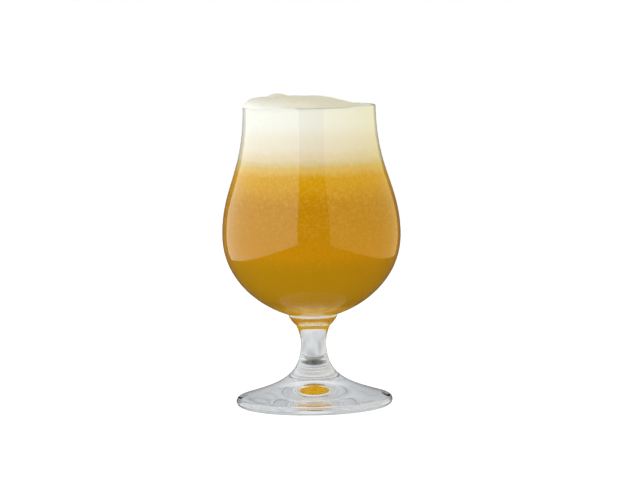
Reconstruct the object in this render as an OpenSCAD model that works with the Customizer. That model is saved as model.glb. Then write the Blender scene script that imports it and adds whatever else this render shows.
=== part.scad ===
// A stemmed tulip glass of hazy golden beer, filled to the lip and crowned with foam.
// Millimetres, +Z up. The origin is on the table, at the middle of the foot.

/* [Glass] */
// Height of the glass, from the table to the top of the lip
glass_h = 166.5; // [138:0.5:200]
// Outer diameter at the lip
rim_d = 73.5; // [60:0.5:90]
// Outer diameter at the widest part of the belly
belly_d = 99; // [82:0.5:120]
// Height of the widest part of the belly above the table
belly_z = 95; // [79:0.5:112]

/* [Walls] */
// Thickness of the wall at the lip, which is rounded to half of this
lip_wall = 1.7; // [1.2:0.1:3]
// Thickness of the wall at the widest part of the belly
belly_wall = 2.1; // [1.4:0.1:4]
// Thickness of glass between the top of the collar and the lowest beer
floor_wall = 3; // [1:0.1:6]

/* [Stem] */
// Diameter of the stem at its waist
waist_d = 14; // [10:0.5:20]
// Height of the waist above the table
waist_z = 35; // [28:0.5:42]
// Diameter of the top of the stem, under the collar
neck_d = 19; // [15:0.5:24]
// Outward lean of the stem where it meets the collar, in degrees
neck_lean = 30; // [5:1:40]
// Outer diameter of the collar between stem and belly
collar_d = 27.2; // [24:0.2:34]
// Height of the underside of the collar above the table
collar_z = 44.3; // [43:0.2:50]
// Height of the collar
collar_h = 6.2; // [4:0.1:8]

/* [Foot] */
// Outer diameter of the foot
foot_d = 87; // [70:0.5:110]
// Radius of the rounded edge of the foot
foot_edge_r = 2.4; // [1.5:0.1:3]
// Slope of the top of the foot at its edge, in degrees
foot_slope = 17; // [8:1:22]
// Width of the flat ring that the glass stands on
foot_ring_w = 5; // [2:0.5:8]
// Height of the hollow under the middle of the foot
foot_hollow_h = 7.6; // [4:0.1:9]
// Slope of that hollow at the ring, in degrees
hollow_slope = 12; // [4:1:16]

/* [Curves] */
// How far the foot's edge slope carries towards the stem, as a share of its reach
foot_pull = 0.68; // [0.4:0.01:0.8]
// How far the stem stays upright above the foot, as a share of its height there
stem_pull = 0.62; // [0.3:0.01:0.7]
// How far the hollow under the foot stays level from the middle, as a share of its radius
hollow_top_pull = 0.2; // [0.05:0.01:0.45]
// How far the hollow's edge slope carries inwards, as a share of its radius
hollow_edge_pull = 0.45; // [0.2:0.01:0.5]
// Steepness of the belly just above the collar, in degrees
belly_base_slope = 17; // [5:1:30]
// How far that slope carries outwards, as a share of the belly's reach
belly_base_pull = 0.43; // [0.3:0.01:0.55]
// How far the belly's side stays upright below its widest part
belly_low_pull = 0.56; // [0.4:0.01:0.65]
// How far the belly's side stays upright above its widest part
belly_high_pull = 0.38; // [0.2:0.01:0.5]
// How far the lip's side stays upright below the lip
rim_pull = 0.5; // [0.3:0.01:0.6]
// How far the beer's floor stays level from the middle, as a share of its radius
floor_pull = 0.55; // [0.4:0.01:0.6]
// How far the stem stays upright above its waist, as a share of its height there
waist_pull = 0.2; // [0.1:0.01:0.4]
// How far the neck's lean carries down from the collar, as a share of the same height
neck_pull = 0.3; // [0.1:0.01:0.5]
// Roundness of the collar's side, as a share of its height
collar_pull = 0.33; // [0.1:0.01:0.45]

/* [Beer and foam] */
// Depth of the head of foam from the top of the lip down to the beer
head_depth = 30; // [15:0.5:45]
// Height of the foam's crown above the lip
crown_h = 5.2; // [2:0.1:9]
// Height of the small lobe on top of the crown
lobe_h = 1.9; // [0:0.1:4]
// Diameter of that lobe
lobe_d = 16; // [8:0.5:18]
// Distance of the lobe from the glass's middle, towards the spill
lobe_shift = 17; // [0:0.5:20]
// Share of the lip that the foam swells over
spill_share = 0.42; // [0.1:0.02:0.9]
// Direction of that swell round the glass, in degrees from +X towards +Y
spill_angle = 185; // [0:5:360]
// Height of the slow unevenness of the foam's top
swell_h = 0.25; // [0:0.05:0.6]

/* [Fit] */
// Clearance between the glass and what fills it
fill_gap = 0.1; // [0.05:0.05:0.3]

/* [Hidden] */
$fn = 120;

// Number of straight steps that each long curve is made of
curve_steps = 24;
// Number of straight steps in the rounded lip and in the foot's edge
round_steps = 10;
// Number of points round the foam, and of its rings up the wall, over the lip and on the crown
foam_sides = 72;
foam_wall_rings = 8;
foam_lip_rings = 6;
foam_crown_rings = 16;
// How gradually the swell over the lip begins, as a share of the lip's radius
spill_blend = 0.4;
// How far round the lip's own rounding the swell reaches, in degrees
lip_cover = 150;
// Powers that shape the crown's side: a full round shoulder over the spill, a gentle slope away from it
shoulder_fullness = 10;
shoulder_slack = 0.5;
slope_fullness = 2;
slope_slack = 1.6;
// Power that rounds the foot of the lobe
lobe_roundness = 1.5;
// Degrees of the crown's slow waves for each millimetre in plan
swell_a = [11, 7];
swell_b = [5, -13];

lip_r = lip_wall / 2;
rim_r = rim_d / 2;
belly_r = belly_d / 2;
foot_r = foot_d / 2;
collar_top = collar_z + collar_h;
floor_z = collar_top + floor_wall;
beer_z = glass_h - head_depth;
lip_mid = [rim_r - lip_r, glass_h - lip_r];

// A point at a distance and an angle from another
function polar(from, radius, angle) = from + radius * [cos(angle), sin(angle)];

// Points of a circular arc
function arc(mid, radius, from, to, steps) = [
    for (i = [0:steps]) polar(mid, radius, from + (to - from) * i / steps)
];

// Points of a cubic curve from a to d that leaves towards b and arrives from c
function curve(a, b, c, d, steps = curve_steps) = [
    for (i = [0:steps])
        let (t = i / steps, s = 1 - t)
        s * s * s * a + 3 * s * s * t * b + 3 * s * t * t * c + t * t * t * d
];

// The side of the bowl above its widest part, for a given radius there and at the lip
function upper_side(widest_r, mouth_r) =
    let (rise = lip_mid[1] - belly_z)
    curve(
        [widest_r, belly_z],
        [widest_r, belly_z + belly_high_pull * rise],
        [mouth_r, lip_mid[1] - rim_pull * rise],
        [mouth_r, lip_mid[1]]
    );

// Outer side of the foot and stem, from the flat ring up to the collar
function foot_and_stem() =
    let (
        edge_mid = [foot_r - foot_edge_r, foot_edge_r],
        edge_top = polar(edge_mid, foot_edge_r, 90 - foot_slope),
        waist = [waist_d / 2, waist_z],
        neck = [neck_d / 2, collar_z],
        reach = (edge_top[0] - waist[0]) * foot_pull / cos(foot_slope),
        lower_rise = waist_z - edge_top[1],
        upper_rise = collar_z - waist_z
    )
    concat(
        arc(edge_mid, foot_edge_r, -90, 90 - foot_slope, round_steps),
        curve(
            edge_top,
            polar(edge_top, reach, 180 - foot_slope),
            waist - [0, stem_pull * lower_rise],
            waist
        ),
        curve(
            waist,
            waist + [0, waist_pull * upper_rise],
            polar(neck, neck_pull * upper_rise, 270 - neck_lean),
            neck
        )
    );

// Outer side of the collar and the bowl, up to the start of the lip
function collar_and_bowl() =
    let (
        neck = [neck_d / 2, collar_z],
        side = [collar_d / 2, collar_top],
        roundness = collar_pull * collar_h,
        reach = (belly_r - side[0]) * belly_base_pull / cos(belly_base_slope),
        rise = belly_z - collar_top
    )
    concat(
        curve(neck, polar(neck, roundness, 45), side - [0, roundness], side, round_steps),
        curve(
            side,
            polar(side, reach, belly_base_slope),
            [belly_r, belly_z - belly_low_pull * rise],
            [belly_r, belly_z]
        ),
        upper_side(belly_r, rim_r)
    );

// Inner side of the bowl from the middle of its floor to the lip, shrunk all round by a gap
function bowl_inside(gap) =
    let (
        widest_r = belly_r - belly_wall - gap,
        low = floor_z + gap
    )
    concat(
        curve(
            [0, low],
            [floor_pull * widest_r, low],
            [widest_r, belly_z - belly_low_pull * (belly_z - low)],
            [widest_r, belly_z]
        ),
        upper_side(widest_r, rim_r - lip_wall - gap)
    );

function reversed(points) = [for (i = [len(points) - 1:-1:0]) points[i]];

// The points without any that repeat the one before
function without_repeats(points) = [
    for (i = [0:len(points) - 1])
        if (i == 0 || norm(points[i] - points[i - 1]) > 0.001) points[i]
];

// Radius of the foam's side at a height within the bowl
function foam_wall_r(z) = lookup(z, [for (p = bowl_inside(fill_gap)) if (p[1] >= belly_z) [p[1], p[0]]]);

// 0 where the foam stays inside the lip at this angle, rising to 1 where it swells over it
function spill(angle) =
    let (
        edge = cos(180 * spill_share),
        t = min(max((cos(angle - spill_angle) - edge) / spill_blend, 0), 1)
    )
    t * t * (3 - 2 * t);

// Height of the foam's crown above the table, at a point in plan
function crown_z(x, y) =
    let (lobe = norm([x, y] - polar([0, 0], lobe_shift, spill_angle)) / (lobe_d / 2))
    glass_h
    + crown_h
    + swell_h * (sin(swell_a * [x, y]) + cos(swell_b * [x, y]))
    + lobe_h * (lobe < 1 ? pow(cos(90 * lobe), lobe_roundness) : 0);

// The foam's outline at one angle, from the beer up the wall, over the lip and in to the middle
function foam_rib(angle) =
    let (
        // Towards the spill the crown has a full round shoulder, and away from it a gentle slope
        towards = pow((1 + cos(angle - spill_angle)) / 2, 2),
        fullness = slope_fullness + (shoulder_fullness - slope_fullness) * towards,
        slack = slope_slack + (shoulder_slack - slope_slack) * towards,
        lip_turn = 180 - lip_cover * spill(angle),
        edge = polar(lip_mid, lip_r + fill_gap, lip_turn)
    )
    concat(
        [
            for (i = [0:foam_wall_rings - 1])
                let (z = beer_z + (lip_mid[1] - beer_z) * i / foam_wall_rings)
                [foam_wall_r(z), z]
        ],
        arc(lip_mid, lip_r + fill_gap, 180, lip_turn, foam_lip_rings),
        [
            for (i = [1:foam_crown_rings])
                let (
                    share = cos(90 * i / foam_crown_rings),
                    radius = edge[0] * share,
                    top = crown_z(radius * cos(angle), radius * sin(angle)),
                    shoulder = pow(1 - pow(share, fullness), slack)
                )
                [radius, edge[1] + shoulder * (top - edge[1])]
        ]
    );

// The stemmed glass in one piece: foot, stem, collar and bowl with its lip
module glass() {
    ring_inner_r = foot_r - foot_edge_r - foot_ring_w;
    outline = concat(
        curve(
            [0, foot_hollow_h],
            [hollow_top_pull * ring_inner_r, foot_hollow_h],
            polar([ring_inner_r, 0], hollow_edge_pull * ring_inner_r, 180 - hollow_slope),
            [ring_inner_r, 0],
            round_steps
        ),
        foot_and_stem(),
        collar_and_bowl(),
        arc(lip_mid, lip_r, 0, 180, round_steps),
        reversed(bowl_inside(0))
    );
    color([0.92, 0.95, 0.96, 0.35])
        rotate_extrude()
            polygon(without_repeats(outline));
}

// The beer fills the bowl up to the foam
module beer() {
    outline = concat(bowl_inside(fill_gap), [[0, lip_mid[1]]]);
    color([0.78, 0.52, 0.05])
        intersection() {
            rotate_extrude()
                polygon(without_repeats(outline));
            cylinder(h = beer_z, r = belly_r);
        }
}

// The foam stands on the beer, fills the bowl to the lip and domes over it
module foam() {
    rings = foam_wall_rings + foam_lip_rings + foam_crown_rings;
    turns = [for (j = [0:foam_sides - 1]) 360 * j / foam_sides];
    ribs = [for (angle = turns) foam_rib(angle)];
    points = [
        for (i = [0:rings - 1])
            for (j = [0:foam_sides - 1])
                let (p = ribs[j][i])
                [p[0] * cos(turns[j]), p[0] * sin(turns[j]), p[1]]
    ];
    crown_mid = [0, 0, ribs[0][rings][1]];
    // Each strip of the side joins one rib to the next with two triangles a ring
    sides = [
        for (i = [0:rings - 2])
            for (j = [0:foam_sides - 1])
                let (
                    k = (j + 1) % foam_sides,
                    low = i * foam_sides,
                    high = low + foam_sides
                )
                each [[low + j, high + j, low + k], [low + k, high + j, high + k]]
    ];
    last = (rings - 1) * foam_sides;
    top = [for (j = [0:foam_sides - 1]) [last + j, len(points), last + (j + 1) % foam_sides]];
    underside = [for (j = [0:foam_sides - 1]) j];
    color([0.95, 0.92, 0.83])
        polyhedron(concat(points, [crown_mid]), concat([underside], sides, top), convexity = 4);
}

glass();
beer();
foam();
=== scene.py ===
"""Looks for a stemmed tulip glass of hazy golden beer under a head of foam, built round its CAD frame."""

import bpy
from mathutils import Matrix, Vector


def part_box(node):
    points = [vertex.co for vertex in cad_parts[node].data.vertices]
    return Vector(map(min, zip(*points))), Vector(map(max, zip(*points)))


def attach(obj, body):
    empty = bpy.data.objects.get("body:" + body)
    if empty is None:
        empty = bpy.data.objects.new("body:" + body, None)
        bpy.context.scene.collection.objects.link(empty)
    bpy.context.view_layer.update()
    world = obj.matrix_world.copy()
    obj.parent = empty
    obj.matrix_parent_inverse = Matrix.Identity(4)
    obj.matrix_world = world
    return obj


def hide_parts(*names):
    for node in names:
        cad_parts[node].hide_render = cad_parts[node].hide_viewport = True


bl_info = {
    "name": "Tulip glass of beer",
    "version": (1, 0, 0),
    "blender": (4, 5, 0),
    "location": "3D View > Sidebar > Beer",
    "description": "Builds a stemmed glass of beer, its bubbles, its foam and a small photo studio",
    "category": "Add Mesh",
}

from math import cos, hypot, pi, radians, sin
from random import Random

import bmesh
import bpy
from mathutils import Matrix, Vector, noise

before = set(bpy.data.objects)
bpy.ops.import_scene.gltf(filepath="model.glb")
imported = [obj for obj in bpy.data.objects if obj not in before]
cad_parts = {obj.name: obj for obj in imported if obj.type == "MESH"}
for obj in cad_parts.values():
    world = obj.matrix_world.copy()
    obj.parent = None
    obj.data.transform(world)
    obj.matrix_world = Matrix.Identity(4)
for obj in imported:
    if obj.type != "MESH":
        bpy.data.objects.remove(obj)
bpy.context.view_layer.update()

MM = 0.001
GLASS_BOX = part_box("glass")
BEER_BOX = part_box("beer")

# Points along a long curve of an outline, and sides round each turned piece
CURVE_STEPS = 64
GLASS_SIDES = 192
BEER_SIDES = 160
FOAM_SIDES = 288


# Colours and nodes


def linear(hex_colour, alpha=1.0):
    """The linear RGBA of an sRGB hex colour."""
    channels = [int(hex_colour[i : i + 2], 16) / 255 for i in (1, 3, 5)]
    return tuple(c / 12.92 if c <= 0.04045 else ((c + 0.055) / 1.055) ** 2.4 for c in channels) + (alpha,)


def add(tree, kind, inputs=None, **settings):
    """Adds a node with its own settings. inputs holds each socket's value, or the socket linked to it."""
    node = tree.nodes.new(kind)
    for name, value in settings.items():
        setattr(node, name, value)
    for name, value in (inputs or {}).items():
        if isinstance(value, bpy.types.NodeSocket):
            tree.links.new(value, node.inputs[name])
        else:
            node.inputs[name].default_value = value
    return node


def spread(node, stops):
    """Spreads (place, colour) stops smoothly along a colour ramp, each colour a hex string or a property."""
    node.color_ramp.interpolation = "EASE"
    elements = node.color_ramp.elements
    while len(elements) < len(stops):
        elements.new(1.0)
    for element, (place, shade) in zip(elements, stops):
        element.position = place
        element.color = linear(shade) if isinstance(shade, str) else (*shade, 1.0)
    return node.outputs["Color"]


def froth_height(tree, place, low, high):
    """0 to 1 from one height to another, made ragged the same way in the beer as in the foam on top of it."""
    tuft = 3 * MM
    split = add(tree, "ShaderNodeSeparateXYZ", {"Vector": place})
    ragged = add(
        tree,
        "ShaderNodeTexNoise",
        {"Vector": place, "Scale": 1 / tuft, "Detail": 4.0, "Roughness": 0.65},
    )
    # The noise runs from 0 to 1, so this shifts a height by a tuft at most, up or down
    shift = add(
        tree,
        "ShaderNodeMath",
        {0: ragged.outputs["Fac"], 1: 2 * tuft, 2: -tuft},
        operation="MULTIPLY_ADD",
    )
    height = add(
        tree,
        "ShaderNodeMath",
        {0: split.outputs["Z"], 1: shift.outputs["Value"]},
        operation="ADD",
    )
    rise = add(
        tree,
        "ShaderNodeMapRange",
        {"Value": height.outputs["Value"], "From Min": low, "From Max": high},
    )
    return rise.outputs["Result"]


def new_material(name):
    """A new node material, with its emptied tree and its output node."""
    material = bpy.data.materials.new(name)
    material.use_nodes = True
    material.node_tree.nodes.clear()
    output = add(material.node_tree, "ShaderNodeOutputMaterial")
    return material, material.node_tree, output


# Outlines, as in the CAD model


def polar(start, radius, angle):
    """The point at a distance and an angle in degrees from another."""
    return (start[0] + radius * cos(radians(angle)), start[1] + radius * sin(radians(angle)))


def arc(middle, radius, start, end, steps):
    """Points of a circular arc."""
    return [polar(middle, radius, start + (end - start) * i / steps) for i in range(steps + 1)]


def curve(a, b, c, d, steps):
    """Points of a cubic curve from a to d that leaves towards b and arrives from c."""
    points = []
    for i in range(steps + 1):
        t = i / steps
        s = 1 - t
        weights = (s**3, 3 * s * s * t, 3 * s * t * t, t**3)
        points.append(tuple(sum(w * p[k] for w, p in zip(weights, (a, b, c, d))) for k in (0, 1)))
    return points


def without_repeats(points):
    """The points without any that repeat the one before."""
    kept = [points[0]]
    for point in points[1:]:
        if hypot(point[0] - kept[-1][0], point[1] - kept[-1][1]) > 1e-6:
            kept.append(point)
    return kept


def upper_side(size, widest, mouth, steps):
    """The side of the bowl above its widest part, for a given radius there and at the lip."""
    top = size.height - size.lip_wall / 2
    rise = top - size.belly_z
    return curve(
        (widest, size.belly_z),
        (widest, size.belly_z + size.belly_high_pull * rise),
        (mouth, top - size.rim_pull * rise),
        (mouth, top),
        steps,
    )


def bowl_inside(size, gap, steps):
    """The bowl's inner side from the middle of its floor to the lip, shrunk all round by a gap."""
    widest = size.belly_d / 2 - size.belly_wall - gap
    low = size.collar_z + size.collar_h + size.floor_wall + gap
    floor = curve(
        (0, low),
        (size.floor_pull * widest, low),
        (widest, size.belly_z - size.belly_low_pull * (size.belly_z - low)),
        (widest, size.belly_z),
        steps,
    )
    return floor + upper_side(size, widest, size.rim_d / 2 - size.lip_wall - gap, steps)[1:]


def glass_outline(size, steps):
    """The whole outline of the glass, from the middle of its underside round to the middle of its floor."""
    edge = size.foot_edge_r
    ring_inner = size.foot_d / 2 - edge - size.foot_ring_w
    edge_middle = (size.foot_d / 2 - edge, edge)
    edge_top = polar(edge_middle, edge, 90 - size.foot_slope)
    waist = (size.waist_d / 2, size.waist_z)
    neck = (size.neck_d / 2, size.collar_z)
    side = (size.collar_d / 2, size.collar_z + size.collar_h)
    belly = (size.belly_d / 2, size.belly_z)
    foot_reach = (edge_top[0] - waist[0]) * size.foot_pull / cos(radians(size.foot_slope))
    belly_reach = (belly[0] - side[0]) * size.belly_base_pull / cos(radians(size.belly_base_slope))
    lower_rise = waist[1] - edge_top[1]
    upper_rise = neck[1] - waist[1]
    roundness = size.collar_pull * size.collar_h
    hollow = size.foot_hollow_h
    lip = size.lip_wall / 2
    lip_middle = (size.rim_d / 2 - lip, size.height - lip)
    return without_repeats(
        curve(
            (0, hollow),
            (size.hollow_top_pull * ring_inner, hollow),
            polar((ring_inner, 0), size.hollow_edge_pull * ring_inner, 180 - size.hollow_slope),
            (ring_inner, 0),
            steps // 2,
        )
        + arc(edge_middle, edge, -90, 90 - size.foot_slope, steps // 3)
        + curve(
            edge_top,
            polar(edge_top, foot_reach, 180 - size.foot_slope),
            (waist[0], waist[1] - size.stem_pull * lower_rise),
            waist,
            steps,
        )
        + curve(
            waist,
            (waist[0], waist[1] + size.waist_pull * upper_rise),
            polar(neck, size.neck_pull * upper_rise, 270 - size.neck_lean),
            neck,
            steps // 3,
        )
        + curve(neck, polar(neck, roundness, 45), (side[0], side[1] - roundness), side, steps // 4)
        + curve(
            side,
            polar(side, belly_reach, size.belly_base_slope),
            (belly[0], belly[1] - size.belly_low_pull * (belly[1] - side[1])),
            belly,
            steps,
        )
        + upper_side(size, belly[0], size.rim_d / 2, steps)
        + arc(lip_middle, lip, 0, 180, steps // 4)
        + bowl_inside(size, 0, steps)[::-1]
    )


def radius_at(outline, height):
    """The radius of a rising outline at a height."""
    for low, high in zip(outline, outline[1:]):
        if low[1] <= height <= high[1] and high[1] > low[1]:
            return low[0] + (high[0] - low[0]) * (height - low[1]) / (high[1] - low[1])
    return outline[-1][0]


# Meshes


def mesh_object(name, verts, faces, material):
    """A smooth mesh object with a material."""
    mesh = bpy.data.meshes.new(name)
    mesh.from_pydata(verts, [], faces)
    mesh.materials.append(material)
    mesh.validate()
    made = bmesh.new()
    made.from_mesh(mesh)
    bmesh.ops.recalc_face_normals(made, faces=made.faces)
    made.to_mesh(mesh)
    made.free()
    mesh.shade_smooth()
    made_object = bpy.data.objects.new(name, mesh)
    bpy.context.scene.collection.objects.link(made_object)
    return made_object


def rings_mesh(rings):
    """Vertices and faces that join rings of points, each a list of equal length or a single point."""
    verts, faces, starts = [], [], []
    for ring in rings:
        starts.append(len(verts))
        verts.extend(ring)
    for i in range(len(rings) - 1):
        low, high = rings[i], rings[i + 1]
        a, b = starts[i], starts[i + 1]
        count = max(len(low), len(high))
        for j in range(count):
            k = (j + 1) % count
            if len(low) == 1:
                faces.append((a, b + j, b + k))
            elif len(high) == 1:
                faces.append((a + j, b, a + k))
            else:
                faces.append((a + j, b + j, b + k, a + k))
    return verts, faces


def lathe(outline, sides):
    """Vertices and faces of an outline turned about +Z."""
    rings = []
    for radius, height in outline:
        if radius < 1e-7:
            rings.append([(0, 0, height)])
        else:
            turns = [2 * pi * j / sides for j in range(sides)]
            rings.append([(radius * cos(t), radius * sin(t), height) for t in turns])
    return rings_mesh(rings)


def beads(places, detail):
    """Vertices and faces of many small balls, each (centre, radii) with one radius for each axis."""
    made = bmesh.new()
    bmesh.ops.create_icosphere(made, subdivisions=detail, radius=1)
    ball = [v.co.copy() for v in made.verts]
    ball_faces = [[v.index for v in f.verts] for f in made.faces]
    made.free()
    verts, faces = [], []
    for centre, radii in places:
        start = len(verts)
        verts.extend(tuple(centre[k] + radii[k] * co[k] for k in range(3)) for co in ball)
        faces.extend([start + i for i in face] for face in ball_faces)
    return verts, faces


def finish_piece(piece, node_names):
    """Rides a piece on the one body and the CAD nodes it stands for."""
    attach(piece, "root")
    if node_names:
        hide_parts(*node_names)
    return piece


# What a user would change


def length(name, description, default_mm):
    """A length property, with its default in millimetres."""
    return bpy.props.FloatProperty(
        name=name, description=description, default=default_mm * MM, unit="LENGTH", precision=5
    )


def share(name, description, default):
    """A property from 0 to 1."""
    return bpy.props.FloatProperty(name=name, description=description, default=default, min=0, max=1)


def degrees_of(name, description, default):
    """An angle property in degrees."""
    return bpy.props.FloatProperty(name=name, description=description, default=default)


def colour(name, description, hex_colour):
    """A colour property, with its default as an sRGB hex colour."""
    return bpy.props.FloatVectorProperty(
        name=name,
        description=description,
        default=linear(hex_colour)[:3],
        subtype="COLOR",
        size=3,
        min=0,
        max=1,
    )


class BEER_PG_glass(bpy.types.PropertyGroup):
    """Sizes of the glass. The overall ones come from the CAD frame."""

    height: length("Height", "From the table to the top of the lip", (GLASS_BOX[1].z - GLASS_BOX[0].z) / MM)
    rim_d: length("Lip", "Outer diameter at the lip", 73.5)
    belly_d: length("Belly", "Outer diameter at the widest part", (GLASS_BOX[1].y - GLASS_BOX[0].y) / MM)
    belly_z: length("Belly height", "Height of the widest part above the table", 95)
    lip_wall: length("Lip wall", "Thickness of the wall at the lip", 1.7)
    belly_wall: length("Belly wall", "Thickness of the wall at the widest part", 2.1)
    floor_wall: length("Floor wall", "Glass between the top of the collar and the beer", 3)
    waist_d: length("Waist", "Diameter of the stem at its waist", 14)
    waist_z: length("Waist height", "Height of the waist above the table", 35)
    neck_d: length("Neck", "Diameter of the top of the stem", 19)
    neck_lean: degrees_of("Neck lean", "Outward lean of the stem at the collar, in degrees", 30)
    collar_d: length("Collar", "Outer diameter of the collar", 27.2)
    collar_z: length("Collar height", "Height of the collar's underside", 44.3)
    collar_h: length("Collar depth", "Height of the collar itself", 6.2)
    foot_d: length("Foot", "Outer diameter of the foot", 87)
    foot_edge_r: length("Foot edge", "Radius of the rounded edge of the foot", 2.4)
    foot_slope: degrees_of("Foot slope", "Slope of the foot's top at its edge, in degrees", 17)
    foot_ring_w: length("Foot ring", "Width of the flat ring that the glass stands on", 5)
    foot_hollow_h: length("Foot hollow", "Height of the hollow under the foot", 7.6)
    hollow_slope: degrees_of("Hollow slope", "Slope of that hollow at the ring, in degrees", 12)
    hollow_top_pull: share("Hollow top pull", "How far the hollow stays level from the middle", 0.2)
    hollow_edge_pull: share("Hollow edge pull", "How far the hollow's edge slope carries inwards", 0.45)
    foot_pull: share("Foot pull", "How far the foot's slope carries towards the stem", 0.68)
    stem_pull: share("Stem pull", "How far the stem stays upright above the foot", 0.62)
    belly_base_slope: degrees_of("Belly slope", "Slope of the belly above the collar, in degrees", 17)
    belly_base_pull: share("Belly base pull", "How far that slope carries outwards", 0.43)
    belly_low_pull: share("Belly low pull", "How far the side stays upright below the belly", 0.56)
    belly_high_pull: share("Belly high pull", "How far the side stays upright above the belly", 0.38)
    rim_pull: share("Lip pull", "How far the side stays upright below the lip", 0.5)
    floor_pull: share("Floor pull", "How far the beer's floor stays level", 0.55)
    waist_pull: share("Waist pull", "How far the stem stays upright above its waist", 0.2)
    neck_pull: share("Neck pull", "How far the neck's lean carries down", 0.3)
    collar_pull: share("Collar pull", "Roundness of the collar's side", 0.33)


class BEER_PG_drink(bpy.types.PropertyGroup):
    """Sizes and colours of the beer and its foam."""

    embed: length("Embed", "How far the drink reaches into the wall, so that no air gap shows", 0.06)
    # Painted light: the lowest beer is brighter than the beer above it, to stand in for the light that comes
    # up through the stem
    beer_floor_painted_glow: colour("Beer over the stem", "Colour of the beer that shows down through the stem", "#E0A81E")
    beer_bottom: colour("Lowest beer", "Colour of the beer at the bottom of the bowl", "#B48008")
    beer_low: colour("Low beer", "Colour of the beer below the belly", "#C68400")
    beer_middle: colour("Beer", "Colour of the beer in the belly", "#C48400")
    beer_high: colour("High beer", "Colour of the beer above the belly", "#DCA004")
    beer_speck: colour("Specks", "Colour of the fine bubbles that cloud the beer", "#E8B850")
    beer_top: colour("Top of the beer", "Colour of the beer a little under the foam", "#E4BC6A")
    foam_foot: colour("Foot of the foam", "Colour where the foam and the beer run into each other", "#E4CEA6")
    foam_low: colour("Low foam", "Colour of the foam just above the beer", "#EAD6B8")
    foam_middle: colour("Foam", "Colour of the foam inside the glass", "#EFE2D4")
    foam_top: colour("Top of the foam", "Colour of the foam at the lip and on the crown", "#F4F0EC")
    # Painted shade: the crown is a little darker than the top of the foam, to stand in for the shade on it,
    # not for a drier skin
    foam_crown_painted_shade: colour("Crown", "Colour of the drier skin of the crown", "#ECE9E8")
    rising_bubbles: bpy.props.IntProperty(
        name="Rising bubbles", description="Bubbles all the way up the side of the beer", default=800, min=0
    )
    froth_bubbles: bpy.props.IntProperty(
        name="Froth bubbles", description="Bubbles in the band under the foam", default=1500, min=0
    )
    froth_band: length("Froth band", "Depth of the band of bubbles under the foam", 9)
    crown_h: length("Crown", "Height of the foam's crown above the lip", 5.2)
    lobe_h: length("Lobe", "Height of the small lobe on the crown", 1.9)
    lobe_d: length("Lobe width", "Diameter of the lobe", 16)
    lobe_shift: length("Lobe shift", "Distance of the lobe from the middle", 17)
    spill_share: share("Spill", "Share of the lip that the foam swells over", 0.42)
    spill_angle: degrees_of("Spill angle", "Direction of the swell round the glass, in degrees", 185)


class BEER_PG_studio(bpy.types.PropertyGroup):
    """Sizes and strengths of the studio."""

    camera_distance: length("Camera distance", "From the glass's axis to the camera", 1465)
    camera_height: length("Camera height", "Height of the camera above the table", 231)
    camera_roll: degrees_of("Camera roll", "Tilt of the camera about its own axis, in degrees", 1.07)
    aim_height: length("Aim height", "Height on the axis at the middle of the view", 86.2)
    aim_side: length("Aim side", "Sideways place of the middle of the view", 0.4)
    view_width: length("View width", "Width of the view at the glass", 346.9)
    floor_colour: colour("Floor", "Colour of the floor and backdrop", "#8A8A8A")


# The pieces


class BEER_OT_glass(bpy.types.Operator):
    """Turns the clear stemmed glass"""

    bl_idname = "beer.glass"
    bl_label = "Glass"

    def execute(self, context):
        size = context.scene.beer_glass
        verts, faces = lathe(glass_outline(size, CURVE_STEPS), GLASS_SIDES)
        piece = mesh_object("tulip_glass", verts, faces, soda_lime_blown())
        piece.data.set_sharp_from_angle(angle=radians(35))
        finish_piece(piece, ["glass"])
        return {"FINISHED"}


def soda_lime_blown():
    """Soda-lime glass, blown and fire-polished: clear and bright, with slow waves that bend what shows."""
    material, tree, output = new_material("soda_lime_glass_blown")
    place = add(tree, "ShaderNodeTexCoord").outputs["Object"]
    waves = add(tree, "ShaderNodeTexNoise", {"Vector": place, "Scale": 1 / (22 * MM), "Detail": 1.0})
    bump = add(
        tree,
        "ShaderNodeBump",
        {"Height": waves.outputs["Fac"], "Strength": 0.06, "Distance": 1.0 * MM},
    )
    haze = add(tree, "ShaderNodeTexNoise", {"Vector": place, "Scale": 1 / (9 * MM), "Detail": 3.0})
    polish = add(
        tree,
        "ShaderNodeMapRange",
        {"Value": haze.outputs["Fac"], "From Min": 0.35, "From Max": 0.7, "To Min": 0.0, "To Max": 0.02},
    )
    body = add(
        tree,
        "ShaderNodeBsdfPrincipled",
        {
            "Base Color": linear("#F6F8F8"),
            "Roughness": polish.outputs["Result"],
            "IOR": 1.52,
            "Transmission Weight": 1.0,
            "Normal": bump.outputs["Normal"],
        },
    )
    # Light reaches the drink straight through the glass, as it does through a thin clear wall
    rays = add(tree, "ShaderNodeLightPath")
    clear = add(tree, "ShaderNodeBsdfTransparent", {"Color": linear("#EEF1F1")})
    shown = body.outputs["BSDF"]
    for kind in ("Is Shadow Ray", "Is Diffuse Ray"):
        mixed = add(
            tree,
            "ShaderNodeMixShader",
            {"Fac": rays.outputs[kind], 1: shown, 2: clear.outputs["BSDF"]},
        )
        shown = mixed.outputs["Shader"]
    tree.links.new(shown, output.inputs["Surface"])
    return material


class BEER_OT_beer(bpy.types.Operator):
    """Fills the bowl with beer up to the foam"""

    bl_idname = "beer.beer"
    bl_label = "Beer"

    def execute(self, context):
        size, drink = context.scene.beer_glass, context.scene.beer_drink
        level = BEER_BOX[1].z
        inside = bowl_inside(size, -drink.embed, CURVE_STEPS)
        top_r = radius_at(inside, level)
        top_rings = 12
        outline = [p for p in inside if p[1] < level] + [(top_r, level)]
        outline += [(top_r * k / top_rings, level) for k in range(top_rings - 1, -1, -1)]
        verts, faces = lathe(outline, BEER_SIDES)
        piece = mesh_object("hazy_beer", verts, faces, hazy_ale(drink))
        piece.data.set_sharp_from_angle(angle=radians(50))
        finish_piece(piece, ["beer"])
        return {"FINISHED"}


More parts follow.
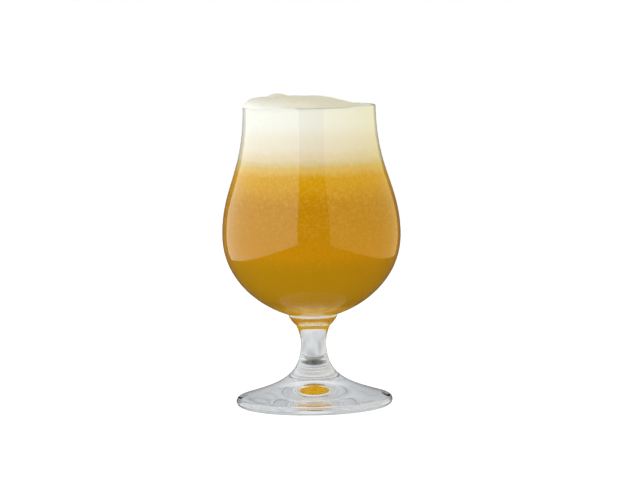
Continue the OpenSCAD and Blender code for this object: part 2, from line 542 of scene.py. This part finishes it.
def hazy_ale(drink):
    """Unfiltered ale: yeast and fine bubbles scatter the light, so it glows gold and shows no depth."""
    material, tree, output = new_material("unfiltered_ale")
    place = add(tree, "ShaderNodeTexCoord").outputs["Object"]
    rise = froth_height(tree, place, BEER_BOX[0].z, BEER_BOX[1].z)
    depth = spread(
        add(tree, "ShaderNodeValToRGB", {"Fac": rise}),
        [
            # The two lowest stops are painted light, a brighter beer standing in for the glow that comes up
            # through the stem
            (0.0, drink.beer_floor_painted_glow),
            (0.03, drink.beer_floor_painted_glow),
            (0.08, drink.beer_bottom),
            (0.3, drink.beer_bottom),
            (0.42, drink.beer_low),
            (0.55, drink.beer_middle),
            (0.7, drink.beer_middle),
            (0.9, drink.beer_high),
            (0.96, drink.beer_top),
            (1.0, drink.foam_foot),
        ],
    )
    # The finest bubbles crowd the upper beer, so its pale grain is stronger there. They are a tenth of a
    # millimetre across, too fine to show, so the grain is drawn at 1.5 mm
    haze = add(
        tree,
        "ShaderNodeTexNoise",
        {"Vector": place, "Scale": 1 / (1.5 * MM), "Detail": 2.0, "Roughness": 0.6},
    )
    grain = add(
        tree,
        "ShaderNodeMapRange",
        {"Value": haze.outputs["Fac"], "From Min": 0.42, "From Max": 0.72},
    )
    strength = add(
        tree,
        "ShaderNodeMapRange",
        {"Value": rise, "From Min": 0.3, "To Min": 0.04, "To Max": 0.5},
    )
    speck = add(
        tree,
        "ShaderNodeMath",
        {0: grain.outputs["Result"], 1: strength.outputs["Result"]},
        operation="MULTIPLY",
    )
    # In a mix of colours, the colours are sockets 6 and 7 and the mixed one is output 2
    mottled = add(
        tree,
        "ShaderNodeMix",
        {"Factor": speck.outputs["Value"], 6: depth, 7: (*drink.beer_speck, 1.0)},
        data_type="RGBA",
    )
    body = add(
        tree,
        "ShaderNodeBsdfPrincipled",
        {
            "Base Color": mottled.outputs[2],
            "Roughness": 0.3,
            "IOR": 1.34,
            "Specular IOR Level": 0.6,
            # Light that comes back from just under the surface is golden too
            "Specular Tint": linear("#FFE240"),
            "Subsurface Weight": 0.25,
            "Subsurface Radius": (1.0, 0.6, 0.2),
            "Subsurface Scale": 1.5 * MM,
        },
    )
    tree.links.new(body.outputs["BSDF"], output.inputs["Surface"])
    return material


class BEER_OT_bubbles(bpy.types.Operator):
    """Scatters bubbles against the glass all the way up the beer, most of them close under the foam"""

    bl_idname = "beer.bubbles"
    bl_label = "Bubbles"

    def execute(self, context):
        size, drink = context.scene.beer_glass, context.scene.beer_drink
        draw = Random(11)
        inside = bowl_inside(size, 0, 48)
        low, high = BEER_BOX[0].z, BEER_BOX[1].z
        places = []
        # The powers crowd the bubbles upwards. Each reaches further into the wall than the beer, so it shows
        for i in range(drink.rising_bubbles + drink.froth_bubbles):
            if i < drink.rising_bubbles:
                height = low + (high - low) * (1 - 0.94 * draw.random() ** 1.3) - 0.6 * MM
                ball = draw.uniform(0.1, 0.22) * MM
            else:
                height = high + 0.4 * MM - drink.froth_band * draw.random() ** 2
                ball = draw.uniform(0.1, 0.34) * MM
            turn = draw.uniform(0, 2 * pi)
            radius = radius_at(inside, height) - 0.3 * ball
            places.append(((radius * cos(turn), radius * sin(turn), height), (ball, ball, ball)))
        verts, faces = beads(places, 2)
        piece = mesh_object("beer_bubbles", verts, faces, bubble_painted_glint())
        finish_piece(piece, [])
        return {"FINISHED"}


def bubble_painted_glint():
    """Gas bubbles against glass, drawn as solid beads whose pale colour is painted light: it stands in for
    the glint of clear bubbles, paler than the beer and as pale as the foam near it.
    """
    material, tree, output = new_material("bubble_painted_glint")
    place = add(tree, "ShaderNodeTexCoord").outputs["Object"]
    rise = froth_height(tree, place, BEER_BOX[0].z, BEER_BOX[1].z)
    # Painted highlight: the pale colours, rising with height, stand in for the light the clear bubbles catch
    shade = spread(
        add(tree, "ShaderNodeValToRGB", {"Fac": rise}),
        [(0.0, "#C48A1C"), (0.75, "#D9A336"), (0.94, "#E6C078"), (1.0, "#EBD3A4")],
    )
    body = add(
        tree,
        "ShaderNodeBsdfPrincipled",
        {"Base Color": shade, "Roughness": 0.2, "IOR": 1.33, "Specular IOR Level": 0.6},
    )
    tree.links.new(body.outputs["BSDF"], output.inputs["Surface"])
    return material


class BEER_OT_foam(bpy.types.Operator):
    """Stands the head of foam on the beer and domes it over the lip"""

    bl_idname = "beer.foam"
    bl_label = "Foam"

    def execute(self, context):
        size, drink = context.scene.beer_glass, context.scene.beer_drink
        ribs = [foam_rib(size, drink, 360 * j / FOAM_SIDES) for j in range(FOAM_SIDES)]
        turns = [2 * pi * j / FOAM_SIDES for j in range(FOAM_SIDES)]
        rings = [[(0, 0, ribs[0][0][1])]]
        for i in range(len(ribs[0]) - 1):
            rings.append([(rib[i][0] * cos(t), rib[i][0] * sin(t), rib[i][1]) for rib, t in zip(ribs, turns)])
        rings.append([(0, 0, ribs[0][-1][1])])
        verts, faces = rings_mesh(rings)
        piece = mesh_object("foam_head", verts, faces, beer_foam(drink))
        piece.data.set_sharp_from_angle(angle=radians(50))
        roughen(piece, size)
        finish_piece(piece, ["foam"])
        return {"FINISHED"}


def spill(drink, angle):
    """0 where the foam stays inside the lip at this angle, rising to 1 where it swells over it."""
    edge = cos(radians(180 * drink.spill_share))
    blend = 0.4
    t = min(max((cos(radians(angle - drink.spill_angle)) - edge) / blend, 0), 1)
    return t * t * (3 - 2 * t)


def crown_z(size, drink, x, y):
    """Height of the foam's crown above the table, at a point in plan."""
    lobe_at = polar((0, 0), drink.lobe_shift, drink.spill_angle)
    lobe = hypot(x - lobe_at[0], y - lobe_at[1]) / (drink.lobe_d / 2)
    x_mm, y_mm = x / MM, y / MM
    # Slow waves in two directions, with their degrees for each millimetre
    waves = sin(radians(11 * x_mm + 7 * y_mm)) + cos(radians(5 * x_mm - 13 * y_mm))
    wave_h = 0.25 * MM
    lobe_roundness = 1.5
    bulge = cos(radians(90 * lobe)) ** lobe_roundness if lobe < 1 else 0
    return size.height + drink.crown_h + wave_h * waves + drink.lobe_h * bulge


def foam_rib(size, drink, angle):
    """The foam's outline at one angle, from the beer up the wall, over the lip and in to the middle."""
    lip = size.lip_wall / 2
    lip_middle = (size.rim_d / 2 - lip, size.height - lip)
    level = BEER_BOX[1].z
    wall_steps, lip_steps, crown_steps = 24, 8, 72
    inside = bowl_inside(size, -drink.embed, wall_steps)
    # Powers that shape the crown: a full round shoulder towards the spill, a gentle slope away from it
    towards = ((1 + cos(radians(angle - drink.spill_angle))) / 2) ** 2
    fullness = 2 + 8 * towards
    slack = 1.6 - 1.1 * towards
    hug = lip - drink.embed
    lip_cover = 150
    turn = 180 - lip_cover * spill(drink, angle)
    edge = polar(lip_middle, hug, turn)
    wall = [level + (lip_middle[1] - level) * i / wall_steps for i in range(wall_steps)]
    # The foam's foot dips into the beer, so that no gap shows between them
    rib = [(radius_at(inside, level) - 1 * MM, level - 0.5 * MM)] + [(radius_at(inside, z), z) for z in wall]
    rib += arc(lip_middle, hug, 180, turn, lip_steps)
    for i in range(1, crown_steps + 1):
        part = cos(radians(90 * i / crown_steps))
        radius = edge[0] * part
        top = crown_z(size, drink, radius * cos(radians(angle)), radius * sin(radians(angle)))
        shoulder = (1 - part**fullness) ** slack
        rib.append((radius, edge[1] + shoulder * (top - edge[1])))
    return rib


def roughen(piece, size):
    """Sinks the crown's skin between its bubbles, always downwards, to stay inside the CAD shape."""
    # The bubbles of a drying crown are finer than this, and are drawn at 1.5 mm so that they show
    bubble, pore = 1.5 * MM, 0.7 * MM
    lip_z = size.height
    for vertex in piece.data.vertices:
        co = vertex.co
        out = hypot(co.x, co.y)
        if co.z < lip_z + 0.3 * MM or out < 1e-6:
            continue
        rise = min((co.z - lip_z) / (1.5 * MM), 1)
        cells = noise.voronoi(co / bubble)[0][0]
        fine = noise.noise(co / pore)
        dip = 0.4 * MM * cells + 0.08 * MM * (fine + 1)
        vertex.co = co - Vector((0, 0, 1)) * dip * rise
    piece.data.update()


def beer_foam(drink):
    """Beer foam, poured: a soft white froth of fine bubbles that lets a little light through."""
    material, tree, output = new_material("beer_foam_poured")
    place = add(tree, "ShaderNodeTexCoord").outputs["Object"]
    rise = froth_height(tree, place, BEER_BOX[1].z, GLASS_BOX[1].z)
    tint = spread(
        add(tree, "ShaderNodeValToRGB", {"Fac": rise}),
        [
            (0.0, drink.foam_foot),
            (0.08, drink.foam_low),
            (0.3, drink.foam_middle),
            (0.75, drink.foam_top),
            (0.9, drink.foam_top),
            # The crown's stop is painted shade, a slightly darker colour for the shade on top of the foam
            (1.0, drink.foam_crown_painted_shade),
        ],
    )
    # Poured foam has bubbles of a few tenths of a millimetre, drawn at 0.9 mm so that they show
    froth = add(
        tree,
        "ShaderNodeTexVoronoi",
        {"Vector": place, "Scale": 1 / (0.9 * MM)},
        feature="SMOOTH_F1",
    )
    bump = add(
        tree,
        "ShaderNodeBump",
        {"Height": froth.outputs["Distance"], "Strength": 0.35, "Distance": 0.3 * MM},
        invert=True,
    )
    body = add(
        tree,
        "ShaderNodeBsdfPrincipled",
        {
            "Base Color": tint,
            "Roughness": 0.6,
            "IOR": 1.33,
            "Specular IOR Level": 0.3,
            "Subsurface Weight": 0.3,
            "Subsurface Radius": (1.0, 0.9, 0.75),
            "Subsurface Scale": 1.5 * MM,
            "Normal": bump.outputs["Normal"],
        },
    )
    tree.links.new(body.outputs["BSDF"], output.inputs["Surface"])
    return material


class BEER_OT_studio(bpy.types.Operator):
    """Sets the floor, the soft lights and the camera"""

    bl_idname = "beer.studio"
    bl_label = "Studio"

    def execute(self, context):
        studio = context.scene.beer_studio
        build_floor(studio)
        build_world()
        # Upright panels beside the view line, each from a plan point in front to one behind
        bottom, top = -0.26, 2.1
        softbox("left_panel", (-0.8, -2.5), (-0.8, 0.96), bottom, top, 1.32, "#FBFFF2")
        softbox("right_panel", (0.8, -1.84), (0.8, 1.2), bottom, top, 0.95, "#FFF4A8")
        # A fill from the camera's side and a top light, neither of them mirrored in the glass
        aim = (0, 0, 0.1)
        front = area_light("front_fill", (0, -2.2, 0.75), aim, 1.2, 1.2, 3.45, "#FFFFFF")
        overhead = area_light("overhead", (-0.2, 0.3, 1.7), aim, 1.0, 1.0, 0.5, "#FFFFFF")
        for light in (front, overhead):
            light.visible_glossy = False
        build_camera(studio)
        context.scene.view_settings.view_transform = "Standard"
        # Light is trapped in the thick foot and stem for many bounces before it comes out
        context.scene.cycles.max_bounces = 32
        context.scene.cycles.glossy_bounces = 24
        context.scene.cycles.transmission_bounces = 24
        return {"FINISHED"}


def build_floor(studio):
    """A pale glowing sweep that curves up far behind the glass. The glass doesn't mirror or bend it."""
    half, front, depth, bend, top = 4.0, -6.0, 3.0, 1.0, 4.0
    outline = [(front, 0.0), (depth, 0.0)]
    outline += [(depth + bend * sin(radians(a)), bend * (1 - cos(radians(a)))) for a in range(10, 91, 10)]
    outline += [(depth + bend, top)]
    verts = [(x, y, z) for y, z in outline for x in (-half, half)]
    faces = [(2 * i, 2 * i + 1, 2 * i + 3, 2 * i + 2) for i in range(len(outline) - 1)]
    material, tree, output = new_material("backlit_paper_sweep")
    # Paper lit from behind: even and matt, with only the slow unevenness of its sheet
    place = add(tree, "ShaderNodeTexCoord").outputs["Object"]
    sheet = add(tree, "ShaderNodeTexNoise", {"Vector": place, "Scale": 1 / (25 * MM), "Detail": 4.0})
    bump = add(
        tree,
        "ShaderNodeBump",
        {"Height": sheet.outputs["Fac"], "Strength": 0.02, "Distance": 0.2 * MM},
    )
    body = add(
        tree,
        "ShaderNodeBsdfPrincipled",
        {
            "Base Color": (*studio.floor_colour, 1.0),
            "Roughness": 0.9,
            "Specular IOR Level": 0.1,
            "Normal": bump.outputs["Normal"],
            "Emission Color": linear("#FFFFFF"),
            "Emission Strength": 0.92,
        },
    )
    tree.links.new(body.outputs["BSDF"], output.inputs["Surface"])
    floor = mesh_object("floor_sweep", verts, faces, material)
    floor.visible_glossy = False
    floor.visible_transmission = False


def build_world():
    """The room: pale grey where the clear glass bends it into view, and dark where the glass mirrors it."""
    world = bpy.data.worlds.new("studio_room")
    world.use_nodes = True
    tree = world.node_tree
    tree.nodes.clear()
    way = add(tree, "ShaderNodeTexCoord").outputs["Generated"]
    split = add(tree, "ShaderNodeSeparateXYZ", {"Vector": way})
    # The mirrored room grows lighter upwards and towards the back
    lifted = add(
        tree,
        "ShaderNodeMath",
        {0: split.outputs["Z"], 1: 0.6, 2: split.outputs["Y"]},
        operation="MULTIPLY_ADD",
    )
    ahead = add(
        tree,
        "ShaderNodeMapRange",
        {"Value": lifted.outputs["Value"], "From Min": -1.0, "From Max": 1.0},
    )
    mirrored = spread(
        add(tree, "ShaderNodeValToRGB", {"Fac": ahead.outputs["Result"]}),
        [(0.0, "#0C0C0C"), (0.6, "#1C1C1C"), (0.95, "#48494B")],
    )
    patches = add(tree, "ShaderNodeTexNoise", {"Vector": way, "Scale": 1.6, "Detail": 1.0})
    shades = spread(
        add(tree, "ShaderNodeValToRGB", {"Fac": patches.outputs["Fac"]}),
        [(0.3, "#C0C1C4"), (0.5, "#DEDFE2"), (0.7, "#F4F4F6")],
    )
    # Dark straight down, so that the bowl's underside doesn't mirror a bright room through the foot
    below = add(
        tree,
        "ShaderNodeMapRange",
        {"Value": split.outputs["Z"], "From Min": -0.9, "From Max": -0.6, "To Min": 0.15, "To Max": 1.0},
    )
    bent = add(
        tree,
        "ShaderNodeVectorMath",
        {0: shades, "Scale": below.outputs["Result"]},
        operation="SCALE",
    )
    rays = add(tree, "ShaderNodeLightPath")
    room = add(
        tree,
        "ShaderNodeMix",
        {"Factor": rays.outputs["Is Transmission Ray"], 6: mirrored, 7: bent.outputs["Vector"]},
        data_type="RGBA",
    )
    background = add(tree, "ShaderNodeBackground", {"Color": room.outputs[2], "Strength": 1.0})
    output = add(tree, "ShaderNodeOutputWorld")
    tree.links.new(background.outputs["Background"], output.inputs["Surface"])
    bpy.context.scene.world = world


def area_light(name, location, target, width, height, radiance, tint):
    """A soft rectangular light that the camera doesn't see. Its power follows from its area and radiance."""
    data = bpy.data.lights.new(name, "AREA")
    data.shape = "RECTANGLE"
    data.size = width
    data.size_y = height
    data.energy = radiance * pi * width * height
    data.color = linear(tint)[:3]
    light = bpy.data.objects.new(name, data)
    light.location = location
    aim = (Vector(target) - Vector(location)).to_track_quat("-Z", "Y")
    light.rotation_euler = aim.to_euler()
    light.visible_camera = False
    light.visible_transmission = False
    bpy.context.scene.collection.objects.link(light)
    return light


def softbox(name, start, end, bottom, top, radiance, tint):
    """An upright panel of light between two points in plan, facing the glass."""
    along = Vector((end[0] - start[0], end[1] - start[1], 0))
    centre = Vector(((start[0] + end[0]) / 2, (start[1] + end[1]) / 2, (bottom + top) / 2))
    inward = Vector((-along.y, along.x, 0)).normalized()
    if inward.dot(centre) > 0:
        inward = -inward
    area_light(name, centre, centre + inward, along.length, top - bottom, radiance, tint)


def build_camera(studio):
    """A long lens on the glass, a little above it and slightly rolled."""
    data = bpy.data.cameras.new("camera")
    eye = Vector((studio.aim_side, -studio.camera_distance, studio.camera_height))
    aim = Vector((studio.aim_side, 0, studio.aim_height))
    data.sensor_width = 36.0
    data.lens = data.sensor_width * (aim - eye).length / studio.view_width
    camera = bpy.data.objects.new("camera", data)
    turn = (aim - eye).to_track_quat("-Z", "Y").to_matrix()
    roll = Matrix.Rotation(radians(-studio.camera_roll), 3, "Z")
    camera.matrix_world = Matrix.Translation(eye) @ (turn @ roll).to_4x4()
    bpy.context.scene.collection.objects.link(camera)
    bpy.context.scene.camera = camera


# The add-on


class BEER_PT_panel(bpy.types.Panel):
    """Lists the pieces in the sidebar"""

    bl_idname = "BEER_PT_panel"
    bl_label = "Glass of beer"
    bl_space_type = "VIEW_3D"
    bl_region_type = "UI"
    bl_category = "Beer"

    def draw(self, context):
        for operator in OPERATORS:
            self.layout.operator(operator.bl_idname)


GROUPS = {"beer_glass": BEER_PG_glass, "beer_drink": BEER_PG_drink, "beer_studio": BEER_PG_studio}
OPERATORS = (BEER_OT_glass, BEER_OT_beer, BEER_OT_bubbles, BEER_OT_foam, BEER_OT_studio)


def register():
    for made in (*GROUPS.values(), *OPERATORS, BEER_PT_panel):
        bpy.utils.register_class(made)
    for name, group in GROUPS.items():
        setattr(bpy.types.Scene, name, bpy.props.PointerProperty(type=group))


def unregister():
    for name in GROUPS:
        delattr(bpy.types.Scene, name)
    for made in reversed((*GROUPS.values(), *OPERATORS, BEER_PT_panel)):
        bpy.utils.unregister_class(made)


def main():
    """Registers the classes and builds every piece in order."""
    register()
    for operator in OPERATORS:
        group, name = operator.bl_idname.split(".")
        getattr(getattr(bpy.ops, group), name)()


if __name__ == "__main__":
    main()
